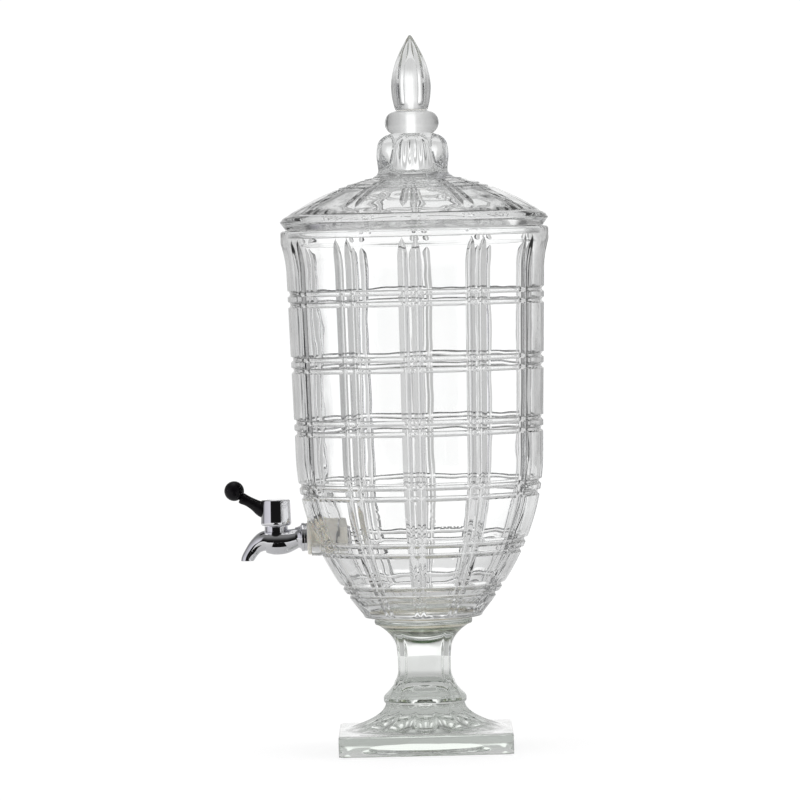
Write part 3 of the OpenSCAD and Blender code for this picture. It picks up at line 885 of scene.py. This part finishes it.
def build_lever():
    path = spline(LEVER_STATIONS, 5)
    grid = tube(path)
    end = grid[-1]
    centre = end.mean(0)
    tip = []
    for share, d in ((0.9, 0.35), (0.55, 0.6), (0.42, 0.7), (0.4, 1.8)):
        tip.append(centre + (end - centre) * share + np.array([d, 0, d * 0.7]))
    lever = closed_object("lever_arm", tap_place(np.concatenate([grid, np.stack(tip)])))
    foot_r, top_r = HUB_R + 0.02, HUB_TOP_R + 0.12
    hub_outline = [[0.01, 5], [foot_r, 5], [foot_r, 14], [top_r, 32], [0.01, 32]]
    core = closed_object("hub_core", valve_place(lathe(hub_outline)))
    lever = combined("lever_arm", lever, [core], "DIFFERENCE")
    sharpen(lever, 45)
    return lever


def build_ball():
    """Ball on the lever's end: a sphere with a shallow flat where it meets the lever."""
    r = ball_high[0]
    axis = Vector((0, -math.cos(math.radians(38)), math.sin(math.radians(38))))
    turn = axis.to_track_quat("Z", "Y").to_matrix()
    theta = np.arange(96) * 3.75
    rows = [polar(1.5, theta, -r * 0.93), polar(r * 0.30, theta, -r * 0.93)]
    for a in np.linspace(-68, 88, 42):
        rows.append(polar(r * math.cos(math.radians(a)), theta, r * math.sin(math.radians(a))))
    grid = np.stack(rows) @ np.array(turn).T
    offset = np.array([0, (ball_low[1] + r), (ball_high[2] - r)])
    ball = closed_object("lever_knob", grid + offset)
    sharpen(ball, 60)
    return ball


# ---------------------------------------------------------------- materials


def material(name):
    made = bpy.data.materials.new(name)
    made.use_nodes = True
    nodes, links = made.node_tree.nodes, made.node_tree.links
    return made, nodes, links, nodes["Principled BSDF"]


def noise(nodes, links, scale, detail=3.0, stretch=None):
    """Noise in the object's own coordinates; its Fac output."""
    place = nodes.new("ShaderNodeTexCoord")
    source = place.outputs["Object"]
    if stretch:
        mapping = nodes.new("ShaderNodeMapping")
        mapping.inputs["Scale"].default_value = stretch
        links.new(source, mapping.inputs["Vector"])
        source = mapping.outputs["Vector"]
    texture = nodes.new("ShaderNodeTexNoise")
    texture.inputs["Scale"].default_value = scale
    texture.inputs["Detail"].default_value = detail
    links.new(source, texture.inputs["Vector"])
    return texture.outputs["Fac"]


def ranged(nodes, links, source, low, high):
    """The source's 0 to 1 mapped to low to high."""
    mapped = nodes.new("ShaderNodeMapRange")
    mapped.inputs["To Min"].default_value = low
    mapped.inputs["To Max"].default_value = high
    links.new(source, mapped.inputs["Value"])
    return mapped.outputs["Result"]


def eased(nodes, links, source, start, end, low=0.0, high=1.0):
    """The source's start to end mapped to low to high with a smooth step."""
    mapped = nodes.new("ShaderNodeMapRange")
    mapped.interpolation_type = "SMOOTHSTEP"
    for name, number in (("From Min", start), ("From Max", end), ("To Min", low), ("To Max", high)):
        mapped.inputs[name].default_value = number
    links.new(source, mapped.inputs["Value"])
    return mapped.outputs["Result"]


def mixed(nodes, links, source, a, b):
    """A colour between a and b by the source."""
    ramp = nodes.new("ShaderNodeValToRGB")
    ramp.color_ramp.elements[0].color = (*a, 1)
    ramp.color_ramp.elements[1].color = (*b, 1)
    ramp.color_ramp.elements[0].position = 0.3
    ramp.color_ramp.elements[1].position = 0.7
    links.new(source, ramp.inputs["Fac"])
    return ramp.outputs["Color"]


def bumped(nodes, links, shader, source, strength, distance):
    bump = nodes.new("ShaderNodeBump")
    bump.inputs["Strength"].default_value = strength
    bump.inputs["Distance"].default_value = distance
    links.new(source, bump.inputs["Height"])
    links.new(bump.outputs["Normal"], shader.inputs["Normal"])


def glass(name, tint, absorb, density, index=1.5):
    """Fire-polished pressed glass: clear, with slight ripples and a little colour in its depth."""
    made, nodes, links, shader = material(name)
    shader.inputs["Transmission Weight"].default_value = 1.0
    shader.inputs["IOR"].default_value = index
    cloud = noise(nodes, links, 14, 2)
    links.new(mixed(nodes, links, cloud, tint, (1, 1, 1)), shader.inputs["Base Color"])
    links.new(ranged(nodes, links, noise(nodes, links, 40, 4), 0.0, 0.012), shader.inputs["Roughness"])
    bumped(nodes, links, shader, noise(nodes, links, 38, 1.0), 0.35, 0.0012)
    volume = nodes.new("ShaderNodeVolumeAbsorption")
    volume.inputs["Color"].default_value = (*absorb, 1)
    volume.inputs["Density"].default_value = density
    links.new(volume.outputs["Volume"], nodes["Material Output"].inputs["Volume"])
    return made


def metal(name, dark, light, rough_low, rough_high, grain, bump=0.0):
    made, nodes, links, shader = material(name)
    shader.inputs["Metallic"].default_value = 1.0
    fac = noise(nodes, links, grain, 5)
    links.new(mixed(nodes, links, fac, dark, light), shader.inputs["Base Color"])
    links.new(ranged(nodes, links, fac, rough_low, rough_high), shader.inputs["Roughness"])
    if bump:
        bumped(nodes, links, shader, fac, bump, 0.0002)
    return made


def plastic(name, dark, light, rough_low, rough_high, grain, bump, soft=0.0, clear=0.0, painted_glow=0.0):
    made, nodes, links, shader = material(name)
    fac = noise(nodes, links, grain, 6)
    links.new(mixed(nodes, links, fac, dark, light), shader.inputs["Base Color"])
    links.new(ranged(nodes, links, fac, rough_low, rough_high), shader.inputs["Roughness"])
    shader.inputs["Transmission Weight"].default_value = clear
    # Painted light: the emission makes the part glow a little in its lighter colour, standing in for light
    # that reaches it through the glass.
    shader.inputs["Emission Color"].default_value = (*light, 1)
    shader.inputs["Emission Strength"].default_value = painted_glow
    shader.inputs["Subsurface Weight"].default_value = soft
    shader.inputs["Subsurface Radius"].default_value = (0.004, 0.003, 0.002)
    shader.inputs["Subsurface Scale"].default_value = 1.0
    bumped(nodes, links, shader, fac, bump, 0.0002)
    return made


clear_glass = glass("clear_glass", (0.985, 0.992, 0.99), (0.75, 0.82, 0.80), 1.2)
foot_glass = glass("foot_glass", (0.975, 0.985, 0.972), (0.66, 0.78, 0.66), 3.0)
seam_glue = glass("seam_glue", (0.99, 0.98, 0.94), (0.9, 0.8, 0.5), 6.0, 1.02)
glue_contact = glass("glue_contact", (0.99, 0.995, 0.99), (0.75, 0.82, 0.80), 0.0)
glue_contact.node_tree.nodes["Principled BSDF"].inputs["Alpha"].default_value = 0.0
chrome = metal("chrome", (0.80, 0.80, 0.83), (0.88, 0.88, 0.90), 0.02, 0.06, 60)
washer_steel = metal("washer_steel", (0.50, 0.50, 0.51), (0.66, 0.66, 0.67), 0.22, 0.38, 220, 0.2)
screw_steel = metal("screw_steel", (0.45, 0.45, 0.46), (0.62, 0.62, 0.63), 0.18, 0.34, 260, 0.2)
CREAM = (0.84, 0.82, 0.74), (0.91, 0.89, 0.83)
NYLON = (0.86, 0.84, 0.76), (0.93, 0.91, 0.85)
ACETAL = (0.70, 0.69, 0.64), (0.80, 0.79, 0.74)
RUBBER = (0.012, 0.012, 0.012), (0.03, 0.03, 0.03)
BLACK = (0.004, 0.003, 0.005), (0.009, 0.007, 0.010)
# The washer and the nut glow a little: painted light that brightens them where they sit behind the glass.
cream_silicone = plastic("cream_silicone", *CREAM, 0.38, 0.55, 180, 0.15, soft=0.3, clear=0.2, painted_glow=0.16)
white_nylon = plastic("white_nylon", *NYLON, 0.35, 0.5, 140, 0.1, clear=0.3, painted_glow=0.18)
plug_acetal = plastic("plug_acetal", *ACETAL, 0.3, 0.45, 160, 0.1)
black_rubber = plastic("black_rubber", *RUBBER, 0.45, 0.65, 200, 0.2)
black_plastic = plastic("black_plastic", *BLACK, 0.30, 0.42, 120, 0.12)
black_plastic.node_tree.nodes["Principled BSDF"].inputs["Specular IOR Level"].default_value = 0.22


def glued(obj, height, radius, made):
    """Gives the flat face glued at this height a see-through contact, as clear glue leaves no boundary."""
    obj.data.materials.append(made)
    for face in obj.data.polygons:
        centre = face.center / MM
        if abs(centre.z - height) < 0.02 and math.hypot(centre.x, centre.y) < radius:
            face.material_index = len(obj.data.materials) - 1


def dress(obj, made):
    obj.data.materials.clear()
    obj.data.materials.append(made)


def dress_node(name, made):
    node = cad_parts[name]
    node.data.materials.clear()
    node.data.materials.append(made)


# ---------------------------------------------------------------- build

bowl = build_bowl()
lid = build_lid()
finial = build_finial()
pedestal = build_pedestal()
spigot = build_spigot()
washer = build_washer()
back_x, front_x = -escutcheon_high[1], -escutcheon_low[1]
escutcheon = rounded_ring("escutcheon", back_x, front_x, escutcheon_high[0], ESCUTCHEON_BORE, 0.5)
nut = build_nut()
hub = build_hub()
hub_cover = build_hub_cap()
bonnet = build_bonnet()
lever = build_lever()
knob = build_ball()

PIECES = [
    (bowl, clear_glass, "glass", "urn", ["bowl"]),
    (pedestal, foot_glass, "pedestal_glass", "urn", ["pedestal"]),
    (lid, clear_glass, "glass", "lid", ["lid"]),
    (finial, clear_glass, "glass", "lid", ["finial"]),
    (spigot, chrome, "chrome", "urn", ["spigot_body"]),
    (washer, cream_silicone, "silicone", "urn", ["outer_washer"]),
    (escutcheon, chrome, "chrome", "urn", ["escutcheon_ring"]),
    (nut, white_nylon, "nut_plastic", "urn", ["retaining_nut"]),
    (bonnet, chrome, "chrome", "urn", ["bonnet_ring"]),
    (hub, chrome, "chrome", "tap_lever", ["hub"]),
    (hub_cover, chrome, "chrome", "tap_lever", ["hub_cap"]),
    (lever, black_plastic, "lever_plastic", "tap_lever", ["lever"]),
    (knob, black_plastic, "lever_plastic", "tap_lever", ["lever_ball"]),
]
for piece, made, slot_name, body, nodes in PIECES:
    dress(piece, made)
    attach(piece, body)
    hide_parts(*nodes)

glued(bowl, BASE_Z, GLUE_R, glue_contact)
glued(pedestal, COLLAR_TOP, GLUE_R, glue_contact)
glued(lid, KNOB_TOP, SEAM_R, glue_contact)
glued(finial, FINIAL_Z, SEAM_R, glue_contact)

KEPT = {
    "bowl_adhesive": seam_glue,
    "finial_adhesive": seam_glue,
    "inner_washer": cream_silicone,
    "flat_washer": washer_steel,
    "valve_plug": plug_acetal,
    "upper_o_ring": black_rubber,
    "lower_o_ring": black_rubber,
    "hub_screw": screw_steel,
}
for node_name, made in KEPT.items():
    dress_node(node_name, made)


# ---------------------------------------------------------------- stage, light and camera


def build_floor():
    mesh = bpy.data.meshes.new("floor")
    half = 1.3
    corners = [(-half, -half, 0), (half, -half, 0), (half, half, 0), (-half, half, 0)]
    mesh.from_pydata(corners, [], [(0, 1, 2, 3)])
    floor = new_object("floor", mesh)
    made, nodes, links, shader = material("floor_paper")
    # Painted light: to the camera the floor is pale (0.9) and glows at 0.66, so it reads white. To all
    # other rays it is a 0.5 grey whose glow rises from 0.34 near the middle to 0.62 far out.
    fac = noise(nodes, links, 3, 3)
    path = nodes.new("ShaderNodeLightPath")
    paper = nodes.new("ShaderNodeMix")
    paper.data_type = "RGBA"
    links.new(path.outputs["Is Camera Ray"], paper.inputs["Factor"])
    links.new(mixed(nodes, links, fac, (0.50, 0.50, 0.50), (0.54, 0.54, 0.54)), paper.inputs["A"])
    links.new(mixed(nodes, links, fac, (0.90, 0.90, 0.90), (0.93, 0.93, 0.93)), paper.inputs["B"])
    links.new(paper.outputs["Result"], shader.inputs["Base Color"])
    shader.inputs["Roughness"].default_value = 0.9
    shader.inputs["Specular IOR Level"].default_value = 0.1
    shader.inputs["Emission Color"].default_value = (1, 1, 1, 1)
    radius = nodes.new("ShaderNodeVectorMath")
    radius.operation = "LENGTH"
    place = nodes.new("ShaderNodeTexCoord")
    links.new(place.outputs["Object"], radius.inputs[0])
    far = eased(nodes, links, radius.outputs["Value"], 0.1, 1.2, 0.34, 0.62)
    painted_glow = nodes.new("ShaderNodeMix")
    links.new(path.outputs["Is Camera Ray"], painted_glow.inputs["Factor"])
    links.new(far, painted_glow.inputs["A"])
    painted_glow.inputs["B"].default_value = 0.66
    links.new(painted_glow.outputs["Result"], shader.inputs["Emission Strength"])
    mesh.materials.append(made)


def build_card():
    """Black card on the floor in front, unseen by the camera: it gives the chrome its dark middle."""
    mesh = bpy.data.meshes.new("black_card")
    corners = [(0.15, -0.2, 0.001), (1.28, -0.4, 0.001), (1.28, 0.2, 0.001), (0.15, -0.02, 0.001)]
    mesh.from_pydata(corners, [], [(0, 1, 2, 3)])
    card = new_object("black_card", mesh)
    made, nodes, links, shader = material("black_paper")
    fac = noise(nodes, links, 20, 3)
    dull = mixed(nodes, links, fac, (0.008, 0.008, 0.008), (0.012, 0.012, 0.012))
    links.new(dull, shader.inputs["Base Color"])
    shader.inputs["Roughness"].default_value = 0.9
    shader.inputs["Specular IOR Level"].default_value = 0.1
    mesh.materials.append(made)
    card.visible_camera = False
    card.visible_shadow = False
    card.visible_diffuse = False


# The room all round the object: azimuth in degrees from +X, the main camera's side, and brightness.
ROOM = [
    (-180, 1.15), (-177, 1.15), (-173, 0.78), (-160, 0.60), (-140, 0.42),
    (-122, 0.30), (-114, 0.12), (-106, 0.32), (-90, 0.62), (-42, 0.74),
    (-39, 0.01), (39, 0.01), (42, 0.95), (60, 1.0), (62, 0.2),
    (65, 0.2), (67, 1.05), (108, 1.05), (116, 0.15), (124, 0.15),
    (132, 0.42), (160, 0.60), (170, 0.78), (174, 1.15), (180, 1.15),
]
# The wall between these two azimuths is slightly lilac; the rest is plain.
LILAC_FROM, LILAC_TO = -106, -42
LILAC = (0.97, 0.96, 1.03)
PLAIN = (1.0, 1.0, 1.0)
BRIGHTEST = 1.2
ZENITH = 0.22
BELOW = 0.68
BACKDROP = 1.05


def build_world():
    """Studio: white backdrop behind, grey and white walls at the sides, dark behind the main camera."""
    world = bpy.data.worlds.new("studio")
    bpy.context.scene.world = world
    world.use_nodes = True
    nodes, links = world.node_tree.nodes, world.node_tree.links
    nodes.clear()

    def maths(operation, a, b=None):
        node = nodes.new("ShaderNodeMath")
        node.operation = operation
        for socket, value in zip(node.inputs, (a, b)):
            if isinstance(value, (int, float)):
                socket.default_value = value
            elif value is not None:
                links.new(value, socket)
        return node.outputs[0]

    place = nodes.new("ShaderNodeTexCoord")
    split = nodes.new("ShaderNodeSeparateXYZ")
    links.new(place.outputs["Generated"], split.inputs[0])
    x, y, z = split.outputs
    turn = maths("ADD", maths("MULTIPLY", maths("ARCTAN2", y, x), 1 / (2 * math.pi)), 0.5)
    ramp = nodes.new("ShaderNodeValToRGB")
    stops = ramp.color_ramp.elements
    while len(stops) < len(ROOM):
        stops.new(0.5)
    for stop, (azimuth, level) in zip(stops, ROOM):
        tint = LILAC if LILAC_FROM <= azimuth <= LILAC_TO else PLAIN
        stop.position = (azimuth + 180) / 360
        stop.color = [*(level / BRIGHTEST * c for c in tint), 1]
    links.new(turn, ramp.inputs["Fac"])
    lift = maths("MULTIPLY", maths("ARCSINE", z), 180 / math.pi)

    def fade(colour, start, end, level):
        """The colour fading to a grey as the angle above the horizon goes from start to end."""
        grey = level / BRIGHTEST
        node = nodes.new("ShaderNodeMix")
        node.data_type = "RGBA"
        links.new(eased(nodes, links, lift, start, end), node.inputs["Factor"])
        links.new(colour, node.inputs["A"])
        node.inputs["B"].default_value = (grey, grey, grey, 1)
        return node.outputs["Result"]

    path = nodes.new("ShaderNodeLightPath")
    room = nodes.new("ShaderNodeBackground")
    walls = fade(fade(ramp.outputs["Color"], 8, 50, ZENITH), -5, -15, BELOW)
    links.new(walls, room.inputs["Color"])
    room.inputs["Strength"].default_value = BRIGHTEST
    backdrop = nodes.new("ShaderNodeBackground")
    backdrop.inputs["Color"].default_value = (1, 1, 1, 1)
    backdrop.inputs["Strength"].default_value = BACKDROP
    seen = nodes.new("ShaderNodeMixShader")
    links.new(path.outputs["Is Camera Ray"], seen.inputs[0])
    links.new(room.outputs[0], seen.inputs[1])
    links.new(backdrop.outputs[0], seen.inputs[2])
    output = nodes.new("ShaderNodeOutputWorld")
    links.new(seen.outputs[0], output.inputs[0])


def area_light(name, place, aim, size, power):
    data = bpy.data.lights.new(name, "AREA")
    data.shape = "RECTANGLE"
    data.size, data.size_y = size
    data.energy = power
    light = bpy.data.objects.new(name, data)
    light.location = place
    light.rotation_euler = (Vector(aim) - Vector(place)).to_track_quat("-Z", "Y").to_euler()
    bpy.context.scene.collection.objects.link(light)


def build_camera():
    """Long lens at the height of the lid's rim, looking along -X."""
    data = bpy.data.cameras.new("camera")
    data.sensor_width = 36
    data.lens = 258.2
    camera = bpy.data.objects.new("camera", data)
    place, aim = Vector((4.5, 0, 0.405)), Vector((0, -0.0143, 0.2744))
    turn = (aim - place).to_track_quat("-Z", "Y").to_matrix() @ Matrix.Rotation(math.radians(-1.35), 3, "Z")
    camera.location = place
    camera.rotation_euler = turn.to_euler()
    bpy.context.scene.collection.objects.link(camera)
    bpy.context.scene.camera = camera


build_floor()
build_card()
build_world()
area_light("overhead", (0, 0, 3.0), (0, 0, 0.3), (2.4, 2.4), 14)
build_camera()

scene = bpy.context.scene
scene.view_settings.view_transform = "Standard"
scene.cycles.max_bounces = 28
scene.cycles.transmission_bounces = 28
scene.cycles.glossy_bounces = 8

bpy.context.view_layer.update()
